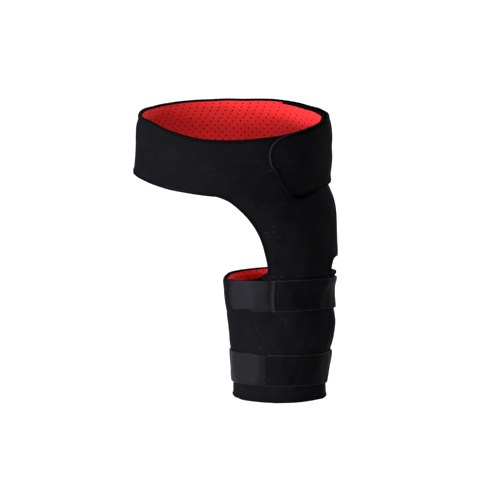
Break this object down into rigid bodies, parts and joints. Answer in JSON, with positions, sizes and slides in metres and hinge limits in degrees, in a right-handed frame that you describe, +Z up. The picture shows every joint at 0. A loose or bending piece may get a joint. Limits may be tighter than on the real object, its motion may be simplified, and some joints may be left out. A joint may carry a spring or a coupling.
{
  "type": "hip support brace",
  "caption": "Neoprene brace for one hip and groin: a waist belt with a rounded closing flap, a hip panel and a thigh wrap with two straps and hook tabs, lined in red.",
  "frame": {"origin": "the middle of the waist hollow, half way up the belt at its sides", "axes": "+X to the side of the braced hip, -Y to the front of the body, +Z up"},
  "size_m": [0.3443, 0.239, 0.494],
  "materials": {
    "neoprene": "matt black neoprene faced with a short loop nap",
    "lining": "matt red perforated lining",
    "binding": "matt black folded tape",
    "strap": "black elastic strap",
    "tab": "dark grey hook tab"
  },
  "bodies": {
    "root": {"front_panel": "neoprene", "back_belt": "neoprene", "thigh_wrap": "neoprene", "front_lining": "lining", "back_lining": "lining", "thigh_lining": "lining", "front_top_binding": "binding", "hip_front_binding": "binding", "hip_back_binding": "binding", "back_binding": "binding", "thigh_top_binding": "binding", "hem_binding": "binding", "upper_strap": "strap", "lower_strap": "strap", "upper_tab": "tab", "lower_tab": "tab"}
  },
  "joints": []
}
